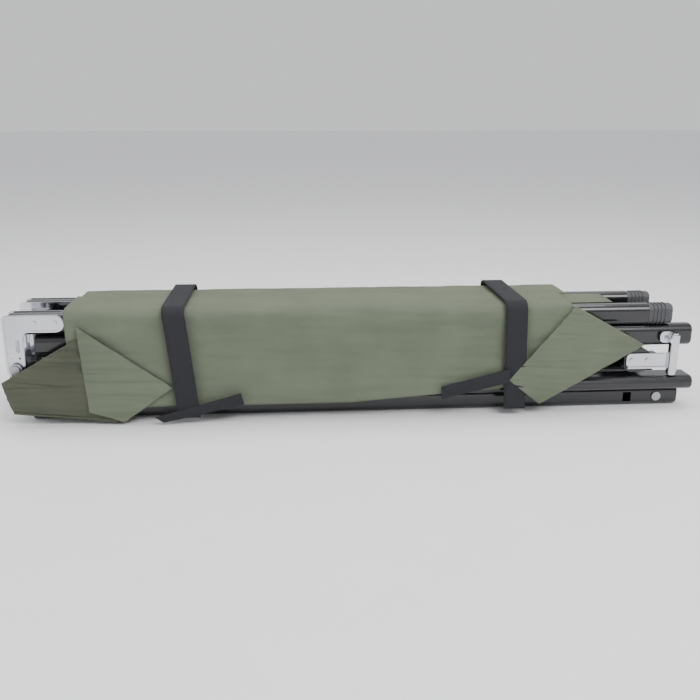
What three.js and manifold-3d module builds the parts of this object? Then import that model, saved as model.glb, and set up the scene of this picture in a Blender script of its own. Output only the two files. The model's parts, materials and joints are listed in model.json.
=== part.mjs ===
// Folding camp stretcher, folded into its carry bundle. Millimetres, +Z up, +X along the length, -Y is the front.
import * as THREE from 'three';
import { mergeVertices } from 'three/addons/utils/BufferGeometryUtils.js';
import Module from 'manifold-3d';
const wasm = await Module();
wasm.setup();

// ---- driving dimensions -------------------------------------------------
const LENGTH = 962;                 // folded length
const SX = -LENGTH / 2;             // the origin is the middle of the bounding box footprint
const RAIL_IN = 28, RAIL_OUT = 52;  // inner and outer face of the upright tubes, from the middle plane
const SPAR_OUT = 70;                // outer face of the flat lower spar
const WALL = 1.5;                   // tube wall
const LOWER_RAIL = [0, 27], LOWER_SPAR = [28, 48], UPPER_SPAR = [89, 120], UPPER_RAIL = [121, 150];
const PIN_X = 13, PIN_Z = 75, PIN_R = 5;       // dog-leg hinge pin
const LEG_W = 14, LEG_H = 16.4, LEG_WALL = 1.4; // leg tube
const LEVEL0 = 12.5, LEVEL_PITCH = 24.5;       // middle height of leg level 0, and the pitch of levels
const LAYER = { e1: -15.5, c: 0, e2: 15.5 };   // middle plane of each pair of legs
const YAW_X = { e1: 897, c: 40, e2: 897 };     // upright yaw pin of each leg
const FOLD = { e1: [917, 13.5], c: [PIN_X, PIN_Z], e2: [920, 104.5] }; // level fold pin of each swivel
const REACH = { e1: 740, c: 634, e2: 685 };    // yaw pin to foot
const CROSS = 417.6;                           // yaw pin to the crossing rivet
const YAW_R = 4, CLEVIS_T = 2.2, GAP = 0.4;

// ---- helpers ------------------------------------------------------------
const V = (x, y, z) => new THREE.Vector3(x, y, z);
const ALONG_X = new THREE.Matrix4().makeBasis(V(0, 1, 0), V(0, 0, 1), V(1, 0, 0)); // (y,z) outline pushed along +x
const ALONG_Y = new THREE.Matrix4().makeBasis(V(1, 0, 0), V(0, 0, 1), V(0, -1, 0)); // (x,z) outline pushed along -y
function toManifold(g) {
  const p = new THREE.BufferGeometry();
  p.setAttribute('position', g.getAttribute('position').clone());
  if (g.index) p.setIndex(g.index.clone());
  const m = mergeVertices(p, 1e-4);
  return new wasm.Manifold(new wasm.Mesh({
    numProp: 3, vertProperties: new Float32Array(m.getAttribute('position').array),
    triVerts: new Uint32Array(m.index.array) }));
}
function fromManifold(m) {
  const mesh = m.getMesh();
  const g = new THREE.BufferGeometry();
  g.setAttribute('position', new THREE.BufferAttribute(new Float32Array(mesh.vertProperties), 3));
  g.setIndex(new THREE.BufferAttribute(new Uint32Array(mesh.triVerts), 1));
  const flat = g.toNonIndexed();
  flat.computeVertexNormals();
  return flat;
}
function outline(x0, x1, y0, y1, r, n = 5) {
  const pts = [], q = Math.min(r, (x1 - x0) / 2 - 0.01, (y1 - y0) / 2 - 0.01);
  const c = [[x1 - q, y0 + q, -90], [x1 - q, y1 - q, 0], [x0 + q, y1 - q, 90], [x0 + q, y0 + q, 180]];
  for (const [cx, cy, a] of c) for (let i = 0; i <= n; i++) {
    const t = (a + 90 * i / n) * Math.PI / 180;
    pts.push(new THREE.Vector2(cx + q * Math.cos(t), cy + q * Math.sin(t)));
  }
  return pts;
}
function extrude(pts, depth, basis, holes = []) {
  const s = new THREE.Shape(pts);
  for (const h of holes) s.holes.push(new THREE.Path(h));
  const g = new THREE.ExtrudeGeometry(s, { depth, bevelEnabled: false, curveSegments: 8 });
  if (basis) g.applyMatrix4(basis);
  return g;
}
const move = (g, x, y, z) => g.translate(x, y, z);
const alongX = (pts, x0, x1, holes) => toManifold(move(extrude(pts, x1 - x0, ALONG_X, holes), x0, 0, 0));
const alongY = (pts, y0, y1, holes) => toManifold(move(extrude(pts, y1 - y0, ALONG_Y, holes), 0, y1, 0));
const alongZ = (pts, z0, z1, holes) => toManifold(move(extrude(pts, z1 - z0, null, holes), 0, 0, z0));
const circle = (cx, cy, r, n = 24) => Array.from({ length: n }, (_, i) => new THREE.Vector2(
  cx + r * Math.cos(2 * Math.PI * i / n), cy + r * Math.sin(2 * Math.PI * i / n)));
const box = (x0, x1, y0, y1, z0, z1) => toManifold(move(new THREE.BoxGeometry(x1 - x0, y1 - y0, z1 - z0), (x0 + x1) / 2, (y0 + y1) / 2, (z0 + z1) / 2));
const rodY = (x, z, r, y0, y1, n = 24) => alongY(circle(x, z, r, n), y0, y1);
const rodZ = (x, y, r, z0, z1, n = 24) => alongZ(circle(x, y, r, n), z0, z1);
const union = (...m) => m.reduce((a, b) => a.add(b));

// side: +1 back, -1 front. span() orders a pair of distances from the middle plane on that side.
const span = (side, a, b) => side > 0 ? [a, b] : [-b, -a];

// hollow tube along x, closed and rounded at the right end
function tube(side, yin, yout, z, x0, x1, r, closed = true) {
  const [a, b] = span(side, yin, yout);
  const inner = outline(a + WALL, b - WALL, z[0] + WALL, z[1] - WALL, r - WALL);
  if (!closed) return alongX(outline(a, b, z[0], z[1], r), x0, x1, [inner]);
  let m = alongX(outline(a, b, z[0], z[1], r), x0, x1 - 5, [inner]);
  const steps = [[0, 2, 0], [2, 3.6, 0.9], [3.6, 4.6, 2.2], [4.6, 5, 3.8]];
  for (const [u, w, inset] of steps)
    m = m.add(alongX(outline(a + inset, b - inset, z[0] + inset, z[1] - inset, Math.max(r - inset, 1.2)), x1 - 5 + u - (u ? 0.02 : 0.5), x1 - 5 + w));
  return m;
}
// moulded end cap with raised ribs
function cap(y0, y1, z0, z1, x0, x1, r, ribs, grow = 0.9) {
  let m = alongX(outline(y0, y1, z0, z1, r), x0, x1);
  for (const x of ribs) m = m.add(alongX(outline(y0 - grow, y1 + grow, z0 - (z0 > 1 ? grow : 0), z1 + grow, r), x, x + 2.4));
  return m;
}

// ---- materials ----------------------------------------------------------
const M = {
  coat: () => new THREE.MeshStandardMaterial({ name: 'black_coat', color: 0x141417, metalness: 0.1, roughness: 0.3 }),
  chrome: () => new THREE.MeshStandardMaterial({ name: 'chrome', color: 0xc8c8cc, metalness: 1, roughness: 0.18 }),
  steel: () => new THREE.MeshStandardMaterial({ name: 'zinc_steel', color: 0x9a9a9e, metalness: 1, roughness: 0.35 }),
  plastic: () => new THREE.MeshStandardMaterial({ name: 'grey_plastic', color: 0x3c3c40, metalness: 0, roughness: 0.6 }),
  cloth: () => new THREE.MeshStandardMaterial({ name: 'green_cloth', color: 0x5c6450, metalness: 0, roughness: 0.95 }),
  strap: () => new THREE.MeshStandardMaterial({ name: 'black_webbing', color: 0x18181c, metalness: 0, roughness: 0.9 }),
};
const root = new THREE.Group();
root.name = 'folding_stretcher';
function add(name, manifold, material) {
  const g = fromManifold(manifold);
  g.translate(SX, 0, 0);
  const mesh = new THREE.Mesh(g, material());
  mesh.name = name;
  root.add(mesh);
}

// ---- tubes, caps and hinges of the two sides -----------------------------
for (const [side, tag] of [[-1, 'front'], [1, 'back']]) {
  const all = span(side, RAIL_IN - 6, SPAR_OUT + 6);
  // lower rail, with the hole for the swivel pin and a slot in its outer face
  const slot = span(side, RAIL_OUT - WALL - 1, RAIL_OUT + 3);
  add('lower_rail_' + tag, tube(side, RAIL_IN, RAIL_OUT, LOWER_RAIL, 60, 950, 8)
    .subtract(rodY(...FOLD.e1, YAW_R + 0.3, ...all))
    .subtract(box(868, 880, ...slot, 6, 20)), M.coat);
  add('lower_rail_cap_' + tag, cap(...span(side, RAIL_IN, RAIL_OUT), 0, 27, 28, 59.7, 7, [36, 41, 46, 51]), M.plastic);
  add('lower_spar_' + tag, tube(side, RAIL_IN, SPAR_OUT, LOWER_SPAR, 40, LENGTH, 9), M.coat);
  add('upper_spar_' + tag, tube(side, RAIL_IN, RAIL_OUT, UPPER_SPAR, 40, LENGTH, 9)
    .subtract(rodY(...FOLD.e2, YAW_R + 0.3, ...all)), M.coat);
  add('upper_rail_' + tag, tube(side, RAIL_IN, RAIL_OUT, UPPER_RAIL, 8, 895, 9, false), M.coat);
  add('upper_rail_cap_' + tag, cap(...span(side, RAIL_IN, RAIL_OUT), 121.6, 149, 895.3, 929, 8, [902, 907.5, 913, 918.5], 0.9), M.plastic);

  // cast hinge block on the lower spar, between the two hinge plates
  const blk = span(side, RAIL_IN + 0.6, RAIL_OUT - 0.6);
  const block = alongY([[2, 48.3], [58, 48.3], [58, 74], [50, 82], [26, 86.5], [13, 87.5], [4.5, 84], [1.5, 77]].map(p => new THREE.Vector2(...p)), ...blk)
    .subtract(rodY(PIN_X, PIN_Z, PIN_R + 0.3, ...all));
  add('hinge_block_' + tag, block, M.coat);
  // L shaped hinge plates with a raised border, rivets and a slot
  const L = [];
  const arc = (cx, cy, r, a0, a1, n) => { for (let i = 0; i <= n; i++) { const t = (a0 + (a1 - a0) * i / n) * Math.PI / 180; L.push(new THREE.Vector2(cx + r * Math.cos(t), cy + r * Math.sin(t))); } };
  arc(6, 144, 6, 180, 90, 4); arc(70, 138, 12, 90, -90, 10); arc(33, 119, 7, 90, 180, 4); arc(PIN_X, PIN_Z - 1, 13, 0, -180, 12);
  const inner = L.map(p => p.clone());
  const shrink = (pts, d) => pts.map((p, i) => {
    const a = pts[(i + pts.length - 1) % pts.length], b = pts[(i + 1) % pts.length];
    const t = b.clone().sub(a).normalize();
    return new THREE.Vector2(p.x + t.y * d, p.y - t.x * d);
  });
  for (const [where, y0, y1, out] of [['outer', RAIL_OUT + 0.3, RAIL_OUT + 2.3, 1], ['inner', RAIL_IN - 2.3, RAIL_IN - 0.3, -1]]) {
    const s = span(side, y0, y1);
    let plate = alongY(L, ...s);
    const face = out > 0 ? y1 : y0;
    const bead = span(side, Math.min(face - 0.2 * out, face + 1.0 * out), Math.max(face - 0.2 * out, face + 1.0 * out));
    if (out > 0) plate = plate.add(alongY(shrink(inner, 0.6), ...bead, [shrink(inner, 3.2).reverse()]));
    plate = plate.subtract(rodY(PIN_X, PIN_Z, PIN_R + 0.3, ...all));
    plate = plate.subtract(alongY(outline(15.5, 20.5, 98, 116, 2.4), ...all.map(v => v)));
    if (out > 0) {
      const head = span(side, face - 0.3, face + 1.6);
      for (const [x, z] of [[42, 138], [69, 138]]) plate = plate.add(rodY(x, z, 4.2, ...head, 20));
      plate = plate.subtract(rodY(9, 92, 2, ...all, 12)).subtract(rodY(19, 90, 1.6, ...all, 12));
    }
    add(`hinge_plate_${where}_${tag}`, plate, M.chrome);
  }
  // hinge pin with a domed head; the centre leg swivel turns on its inner end
  add('hinge_pin_' + tag, union(rodY(PIN_X, PIN_Z, PIN_R, ...span(side, 0.9, RAIL_OUT + 3.6)),
    rodY(PIN_X, PIN_Z, 8.5, ...span(side, RAIL_OUT + 3.5, RAIL_OUT + 7)), rodY(PIN_X, PIN_Z, 6, ...span(side, RAIL_OUT + 6.9, RAIL_OUT + 9.5))), M.steel);
}

// ---- swivels and legs ------------------------------------------------------
// dir is the way the folded leg points along x. Each pair shares a layer; the front and back swivels keep to their own half of it.
const PAIRS = [['e1', 'lower', -1, [0, 1]], ['e2', 'upper', -1, [2, 3]], ['c', 'centre', 1, [4, 5]]];
for (const [key, word, dir, levels] of PAIRS) {
  const yc = LAYER[key], ax = YAW_X[key], [px, pz] = FOLD[key];
  for (const [side, tag, level] of [[-1, 'front', levels[0]], [1, 'back', levels[1]]]) {
    const zc = LEVEL0 + LEVEL_PITCH * level, z0 = zc - 11, z1 = zc + 11;
    const own = side < 0 ? [yc - 7, yc - 0.4] : [yc + 0.4, yc + 7];
    const wx = dir < 0 ? [907.2, 912.5] : [24.5, 29.8];      // upright web beside the leg end
    const plate = dir < 0 ? [ax - 9, 906.9] : [30.1, ax + 9];
    const web = (zs, ze) => box(...wx, ...own, Math.min(zs, ze), Math.max(zs, ze));
    let s = web(z0, z1);
    for (const z of [z0, z1 - CLEVIS_T]) {
      const pts = dir < 0 ? outline(plate[0], plate[1], yc - 7, yc + 7, 6.9) : outline(plate[0], plate[1], yc - 7, yc + 7, 6.9);
      s = s.add(alongZ(pts, z, z + CLEVIS_T)).add(box(Math.min(plate[dir < 0 ? 1 : 0], ax) - 0.01, Math.max(plate[dir < 0 ? 1 : 0], ax), yc - 7, yc + 7, z, z + CLEVIS_T));
    }
    for (const z of [z0, z1 - CLEVIS_T]) s = s.add(box(...(dir < 0 ? [906, 908] : [29, 31]), ...own, z, z + CLEVIS_T));
    s = s.add(rodZ(ax, yc, YAW_R, z0 + 0.5, z1 - 0.5));
    // web down or up to the fold pin, then the boss out to its own side
    const bossY = side < 0 ? [-RAIL_IN + 2.8, yc - 0.4] : [yc + 0.4, RAIL_IN - 2.8];
    const R = key === 'c' ? 9.6 : 9.4;
    const lo = Math.min(z0 + 0.5, pz - 4), hi = Math.max(z1 - 0.5, pz + 4);
    s = s.add(box(...wx, ...own, lo, hi));
    s = s.add(box(Math.min(wx[0], px), Math.max(wx[1], px), ...own, pz - 7, pz + 7));
    s = s.add(rodY(px, pz, R, ...bossY));
    if (key === 'c') s = s.subtract(rodY(px, pz, PIN_R + 0.3, ...span(side, -2, 40)));
    else s = s.add(rodY(px, pz, YAW_R, ...span(side, RAIL_IN - 3, RAIL_OUT + 2.2))).add(rodY(px, pz, 6.5, ...span(side, RAIL_OUT + 0.4, RAIL_OUT + 2.4)));
    add(`swivel_${word}_${tag}`, s, M.steel);

    // leg: hollow tube, eye at the yaw pin, crossing rivet heads, moulded foot
    const end = ax + dir * REACH[key], from = ax + dir * 12;
    const h0 = zc - LEG_H / 2, h1 = zc + LEG_H / 2;
    const tubeX = dir < 0 ? [end + 34.3, from] : [from, end - 34.3];
    let leg = alongX(outline(yc - 7, yc + 7, h0, h1, 4), ...tubeX, [outline(yc - 7 + LEG_WALL, yc + 7 - LEG_WALL, h0 + LEG_WALL, h1 - LEG_WALL, 2.6)]);
    const eye = rodZ(ax, yc, 6.9, h0, h1).add(box(Math.min(ax, from + dir * 3), Math.max(ax, from + dir * 3), yc - 5.4, yc + 5.4, h0 + 1.6, h1 - 1.6));
    leg = leg.add(eye).subtract(rodZ(ax, yc, YAW_R + 0.3, h0 - 1, h1 + 1));
    leg = leg.add(rodZ(ax + dir * CROSS, yc, 5.5, h1 - 0.5, h1 + 1.1, 18)).add(rodZ(ax + dir * CROSS, yc, 5.5, h0 - 1.1, h0 + 0.5, 18));
    add(`leg_${word}_${tag}`, leg, M.coat);
    const f = dir < 0 ? [end, end + 34] : [end - 34, end];
    const ribs = [8, 13, 18].map(d => dir < 0 ? f[1] - d - 2.4 : f[0] + d);
    add(`foot_${word}_${tag}`, cap(yc - 6.8, yc + 6.8, h0 + 0.4, h1 - 0.4, ...f, 4, ribs, 0.5), M.plastic);
  }
}

// ---- outer yokes of the upper legs' swivels ---------------------------------
for (const [side, tag] of [[-1, 'front'], [1, 'back']]) {
  const b = span(side, RAIL_OUT + 2.8, RAIL_OUT + 14);
  const yc = side * (RAIL_OUT + 8.4);
  let t = rodZ(932, yc, 7.2, 51, 108, 28).add(rodZ(932, yc, 5.2, 107.9, 110.6, 24)).add(rodZ(932, yc, 6, 49.4, 51.1, 24));
  t = t.add(alongY(outline(866, 932, 60, 80, 6), ...span(side, RAIL_OUT + 2.9, RAIL_OUT + 6.2)));
  t = t.add(box(868, 932, ...span(side, RAIL_OUT + 2.9, RAIL_OUT + 8), 58, 60.5));
  t = t.add(alongY(outline(912, 932, 96, 112, 6), ...span(side, RAIL_OUT + 2.9, RAIL_OUT + 6.2)));
  for (const x of [874, 897]) t = t.add(rodY(x, 70, 3.6, ...span(side, RAIL_OUT + 6, RAIL_OUT + 8), 20));
  t = t.add(rodY(926, 101, 4, ...span(side, RAIL_OUT + 6, RAIL_OUT + 16.4), 20));
  add('yoke_' + tag, t, M.chrome);
  const k = span(side, RAIL_IN + 0.5, RAIL_OUT + 2.5);
  add('yoke_block_' + tag, alongY(outline(864, 902, 52, 86, 12, 8), ...k), M.coat);
}

// ---- soft goods ----------------------------------------------------------
const C = 4; // folded cloth thickness
for (const [side, tag] of [[-1, 'front'], [1, 'back']]) {
  const o = side > 0;
  const pts = (outer, inner, zlow, top, thick) => {
    const p = [[outer, zlow], [outer, top], [1 * 1, top], [1, top - thick], [inner, top - thick], [inner, zlow]];
    return p.map(([y, z]) => new THREE.Vector2(o ? y : -y, z));
  };
  const ccw = a => THREE.ShapeUtils.isClockWise(a) ? a.slice().reverse() : a;
  add('cloth_wrap_' + tag, alongX(ccw(pts(75.8, 72, 12, 155.4, 3.4)), 84, 850), M.cloth);
  for (const [w, x] of [['left', 222], ['right', 684]])
    add(`strap_${w}_${tag}`, alongX(ccw(pts(80, 77, 6, 159, 2.4)), x, x + 30), M.strap);
}
add('cloth_flap_left', box(30, 200, -80, -76.6, 4, 120), M.cloth);
add('cloth_flap_right', box(720, 874, -80, -76.6, 20, 140), M.cloth);
add('bed_sheet_lower', box(100, 850, -27.2, 27.2, 0, 1.2), M.cloth);
add('bed_sheet_upper', box(100, 850, -27.2, 27.2, 148.6, 149.8), M.cloth);

export default root;
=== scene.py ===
import json
import math

import bmesh
import bpy
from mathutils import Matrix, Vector, noise


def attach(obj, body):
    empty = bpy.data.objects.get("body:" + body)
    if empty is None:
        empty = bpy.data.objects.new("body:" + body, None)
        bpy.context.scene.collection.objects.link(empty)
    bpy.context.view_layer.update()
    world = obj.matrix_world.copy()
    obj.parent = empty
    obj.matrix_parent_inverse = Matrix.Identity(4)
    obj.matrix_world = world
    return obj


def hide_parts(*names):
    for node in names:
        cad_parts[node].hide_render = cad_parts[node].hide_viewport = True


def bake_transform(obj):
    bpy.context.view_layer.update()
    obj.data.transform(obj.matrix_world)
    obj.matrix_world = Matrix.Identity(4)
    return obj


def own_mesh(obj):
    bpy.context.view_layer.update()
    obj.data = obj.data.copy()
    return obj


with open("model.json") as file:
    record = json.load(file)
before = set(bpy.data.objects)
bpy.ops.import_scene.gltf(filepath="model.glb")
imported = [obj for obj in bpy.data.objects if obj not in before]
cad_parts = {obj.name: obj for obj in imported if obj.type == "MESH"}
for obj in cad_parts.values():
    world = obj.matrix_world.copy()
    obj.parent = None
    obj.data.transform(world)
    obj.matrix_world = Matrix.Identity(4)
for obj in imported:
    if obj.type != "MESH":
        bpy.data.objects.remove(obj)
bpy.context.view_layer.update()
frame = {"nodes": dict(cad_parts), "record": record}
X0 = -0.481


# ---- materials -------------------------------------------------------------
def material(name, colour, rough, metal=0.0, bump=0.0, scale=400.0, spread=0.08, weave=False, coat=0.0):
    m = bpy.data.materials.new(name)
    m.use_nodes = True
    nt = m.node_tree
    b = nt.nodes["Principled BSDF"]
    b.inputs["Metallic"].default_value = metal
    b.inputs["Coat Weight"].default_value = coat
    co = nt.nodes.new("ShaderNodeTexCoord")
    n = nt.nodes.new("ShaderNodeTexNoise")
    n.inputs["Scale"].default_value = 14.0
    n.inputs["Detail"].default_value = 6.0
    nt.links.new(co.outputs["Object"], n.inputs["Vector"])
    r = nt.nodes.new("ShaderNodeValToRGB")
    r.color_ramp.elements[0].position = 0.3
    r.color_ramp.elements[1].position = 0.7
    r.color_ramp.elements[0].color = [c * (1 - spread) for c in colour] + [1]
    r.color_ramp.elements[1].color = [min(1, c * (1 + spread)) for c in colour] + [1]
    nt.links.new(n.outputs["Fac"], r.inputs["Fac"])
    nt.links.new(r.outputs["Color"], b.inputs["Base Color"])
    mr = nt.nodes.new("ShaderNodeMapRange")
    mr.inputs["To Min"].default_value = max(0.03, rough - 0.05)
    mr.inputs["To Max"].default_value = min(1, rough + 0.07)
    nt.links.new(n.outputs["Fac"], mr.inputs["Value"])
    nt.links.new(mr.outputs["Result"], b.inputs["Roughness"])
    if bump:
        bp = nt.nodes.new("ShaderNodeBump")
        bp.inputs["Strength"].default_value = bump
        bp.inputs["Distance"].default_value = 0.0006
        if weave:
            adds = []
            for direction in ("X", "Z"):
                w = nt.nodes.new("ShaderNodeTexWave")
                w.bands_direction = direction
                w.inputs["Scale"].default_value = scale
                w.inputs["Distortion"].default_value = 0.4
                nt.links.new(co.outputs["Object"], w.inputs["Vector"])
                adds.append(w)
            mx = nt.nodes.new("ShaderNodeMath")
            mx.operation = "ADD"
            nt.links.new(adds[0].outputs["Fac"], mx.inputs[0])
            nt.links.new(adds[1].outputs["Fac"], mx.inputs[1])
            nt.links.new(mx.outputs["Value"], bp.inputs["Height"])
        else:
            f = nt.nodes.new("ShaderNodeTexNoise")
            f.inputs["Scale"].default_value = scale
            nt.links.new(co.outputs["Object"], f.inputs["Vector"])
            nt.links.new(f.outputs["Fac"], bp.inputs["Height"])
        nt.links.new(bp.outputs["Normal"], b.inputs["Normal"])
    return m


COAT = material("black gloss powder coat", (0.008, 0.008, 0.010), 0.2, bump=0.08, scale=900, coat=0.4)
CHROME = material("polished chrome", (0.62, 0.62, 0.66), 0.12, 1.0, bump=0.04, scale=260)
ZINC = material("zinc plated steel", (0.4, 0.4, 0.42), 0.35, 1.0, bump=0.1, scale=500)
PLASTIC = material("dark grey moulded plastic", (0.055, 0.055, 0.06), 0.55, bump=0.15, scale=1200)
CLOTH = material("olive oxford cloth", (0.115, 0.135, 0.092), 0.9, bump=0.3, scale=260, spread=0.10, weave=True)
# darker copy of the olive cloth: painted shade for cloth lying in folds, same fabric as CLOTH
CLOTH_PAINTED_FOLD_SHADE = material("olive oxford cloth darkened as painted fold shade", (0.065, 0.072, 0.048), 0.9, bump=0.3, scale=260, spread=0.12, weave=True)
WEB = material("black webbing", (0.012, 0.012, 0.016), 0.8, bump=0.5, scale=420, weave=True)
THREAD = material("dark green thread", (0.09, 0.105, 0.07), 0.8, bump=0.1)


def smooth(o, angle=0.6):
    for p in o.data.polygons:
        p.use_smooth = True
    o.data.set_sharp_from_angle(angle=angle)


LOOK = {"chrome": CHROME, "zinc": ZINC, "plastic": PLASTIC, "coat": COAT, "cloth": CLOTH, "webbing": WEB}
SLOT = {s["node"]: s["material_slot"] for s in frame["record"]["subparts"]}
SOFT = [n for n in frame["nodes"] if n.startswith(("cloth_", "strap_", "bed_"))]
for name, o in frame["nodes"].items():
    for i in range(max(1, len(o.material_slots))):
        if o.material_slots:
            o.material_slots[i].material = LOOK[SLOT[name]]
        else:
            o.data.materials.append(LOOK[SLOT[name]])


# ---- cloth -----------------------------------------------------------------
def grid(name, fn, nu, nv, mat, thick=0.0012):
    name = "soft_" + name.replace(" ", "_")
    me = bpy.data.meshes.new(name)
    v = [fn(i / nu, j / nv) for j in range(nv + 1) for i in range(nu + 1)]
    f = [(j * (nu + 1) + i, j * (nu + 1) + i + 1, (j + 1) * (nu + 1) + i + 1, (j + 1) * (nu + 1) + i) for j in range(nv) for i in range(nu)]
    me.from_pydata(v, [], f)
    me.materials.append(mat)
    o = bpy.data.objects.new(name, me)
    bpy.context.scene.collection.objects.link(o)
    smooth(o, 1.2)
    s = o.modifiers.new("cloth", "SOLIDIFY")
    s.thickness = thick
    s.offset = 0
    return o


def wrinkle(x, t, seed=0.0):
    a = noise.noise(Vector((x * 7 + seed, t * 14, seed))) * 0.55
    b = noise.noise(Vector((x * 22 + t * 9 + seed, t * 26, 3.1 + seed))) * 0.3
    c = -max(0.0, 1 - abs(noise.noise(Vector((x * 5 + t * 6, t * 9, 7.7 + seed)))) * 9) * 0.35
    return a + b + c


def lerp(a, b, t):
    return a + (b - a) * t


def profile(t, zlow, top, out, over, r=0.014):
    """Point round the outside: up the side from zlow, round the shoulder, in over the top to y=over."""
    up = top - r - zlow
    arc = r * math.pi / 2
    flat = out - r - over
    d = t * (up + arc + flat)
    if d < up:
        return out, zlow + d
    if d < up + arc:
        a = (d - up) / r
        return out - r + r * math.cos(a), top - r + r * math.sin(a)
    return out - r - (d - up - arc), top


def mm(x):
    return x / 1000 + X0


def wrap(name, side, x0, x1, low, top, over, out, mat, seed):
    def fn(u, t):
        xl = lerp(x0, x1, u)
        y, z = profile(t, low(xl), top(xl), out, over)
        x = mm(xl)
        w = wrinkle(x, t, seed)
        k = 0.0034 * (1 - 0.7 * max(0, t - 0.75) / 0.25)
        # cinched under the straps
        for s in (238, 698):
            k *= 1 - 0.8 * math.exp(-((xl - s) / 22) ** 2)
        y -= 0.0025 * math.exp(-((xl - 238) / 20) ** 2) + 0.0025 * math.exp(-((xl - 698) / 20) ** 2)
        sag = -0.004 * math.sin(math.pi * min(1, t * 1.6)) ** 2 * (0.5 + 0.5 * math.sin(xl / 47))
        return (x, side * (y + w * k + sag), z + w * k * 0.5)
    return grid(name, fn, 220, 70, mat)


low_main = lambda x: 0.024 if x < 470 else lerp(0.024, 0.040, min(1, (x - 470) / 220))
top_main = lambda x: 0.1595 + 0.002 * math.sin(x / 60)
front = wrap("cloth wrap front", -1, 88, 775, low_main, top_main, -0.006, 0.077, CLOTH, 0.0)
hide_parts("cloth_wrap_front")
back = wrap("cloth wrap back", 1, 88, 790, lambda x: 0.016, lambda x: 0.1565, 0.004, 0.077, CLOTH, 5.0)
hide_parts("cloth_wrap_back")


def flap(name, corners, y0, bulge, mat, seed, k=0.003):
    def fn(u, v):
        a = [lerp(corners[0][i], corners[1][i], u) for i in (0, 1)]
        b = [lerp(corners[3][i], corners[2][i], u) for i in (0, 1)]
        x, z = lerp(a[0], b[0], v), lerp(a[1], b[1], v)
        y = y0 + bulge * math.sin(math.pi * u) * math.sin(math.pi * v) + k * wrinkle(mm(x), z / 150, seed)
        return (mm(x), -y, z / 1000)
    return grid(name, fn, 70, 60, mat)


flap_right = flap("cloth flap right", [(690, 52), (735, 16), (880, 100), (778, 157)], 0.0815, 0.004, CLOTH, 2.0)
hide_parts("cloth_flap_right")
flap_left = flap("cloth flap left", [(104, 140), (112, 20), (158, 4), (226, 52)], 0.0815, 0.003, CLOTH, 3.0)
# the left fold is coloured with the darkened cloth copy, which is painted shade
left_fold = flap("cloth fold left", [(-2, 62), (10, 18), (150, 2), (112, 128)], 0.0765, 0.006, CLOTH_PAINTED_FOLD_SHADE, 4.0, 0.006)
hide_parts("cloth_flap_left")


# ---- straps ----------------------------------------------------------------
def strap(name, side, xc, lean, node, out=0.0835):
    def fn(u, t):
        y, z = profile(t, 0.006 if side > 0 else 0.010, 0.1635, out, 0.0, 0.013)
        x = xc - 15 + 30 * u + lean * (1 - z / 0.16)
        return (mm(x), side * y, z)
    o = grid(name, fn, 6, 80, WEB, 0.0016)
    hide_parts(node)
    return o


s1 = strap("left strap front", -1, 232, 16, "strap_left_front", 0.085)
s1b = strap("left strap back", 1, 232, 16, "strap_left_back", 0.0805)
s2 = strap("right strap front", -1, 696, 4, "strap_right_front", 0.0805)
s2b = strap("right strap back", 1, 696, 4, "strap_right_back", 0.0805)
tail1 = flap("left strap tail", [(212, 4), (200, 12), (318, 44), (322, 28)], 0.0865, 0.001, WEB, 6.0, 0.001)
tail2 = flap("right strap tail", [(596, 28), (594, 46), (690, 70), (690, 50)], 0.0840, 0.001, WEB, 7.0, 0.001)


# ---- bed sheets stowed between the rails --------------------------------------
def bed(name, z, node):
    o = grid(name, lambda u, v: (mm(lerp(100, 850, u)), lerp(-0.027, 0.027, v), z), 40, 16, CLOTH, 0.001)
    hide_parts(node)
    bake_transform(o)
    return o


bed_lower = bed("bed sheet lower", 0.0008, "bed_sheet_lower")
bed_upper = bed("bed sheet upper", 0.1492, "bed_sheet_upper")

for o in (front, flap_right, flap_left, left_fold, s1, s2, tail1, tail2):
    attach(o, "lower_frame_front")
    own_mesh(o)
for o in (back, s1b, s2b):
    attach(o, "lower_frame_back")
    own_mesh(o)


# ---- floor, light, camera -----------------------------------------------------
bpy.ops.mesh.primitive_plane_add(size=30, location=(0, 0, -0.0005))
floor = bpy.context.object
fm = material("pale floor", (0.86, 0.86, 0.87), 0.7, spread=0.01)
floor.data.materials.append(fm)
floor.name = "floor"


def area_light(name, loc, aim, size, power):
    d = bpy.data.lights.new(name, "AREA")
    d.shape = "RECTANGLE"
    d.size, d.size_y = size
    d.energy = power
    o = bpy.data.objects.new(name, d)
    bpy.context.scene.collection.objects.link(o)
    o.location = loc
    o.rotation_euler = (Vector(aim) - Vector(loc)).to_track_quat("-Z", "Y").to_euler()
    return o


lights = [area_light("key", (0.9, -1.6, 1.9), (0.05, 0, 0.05), (1.4, 1.0), 42),
          area_light("top", (0, 0.3, 2.0), (0, 0, 0), (2.2, 1.0), 30),
          area_light("fill", (-1.8, -1.2, 0.9), (0, 0, 0.05), (1.0, 1.0), 9)]
w = bpy.data.worlds.new("studio")
bpy.context.scene.world = w
w.use_nodes = True
w.node_tree.nodes["Background"].inputs[0].default_value = (0.93, 0.94, 0.96, 1)
w.node_tree.nodes["Background"].inputs[1].default_value = 0.85

cam = bpy.data.cameras.new("camera")
cam.lens = 42.3
cam.sensor_width = 36
cam.clip_start = 0.01
co = bpy.data.objects.new("camera", cam)
bpy.context.scene.collection.objects.link(co)
el, yaw, dist = math.radians(16.4), math.radians(-4.0), 1.205
aim = Vector((-0.008, 0.0, 0.077))
d = Vector((math.sin(yaw) * math.cos(el), -math.cos(yaw) * math.cos(el), math.sin(el)))
co.location = aim + d * dist
co.rotation_euler = (-d).to_track_quat("-Z", "Y").to_euler()
bpy.context.scene.camera = co
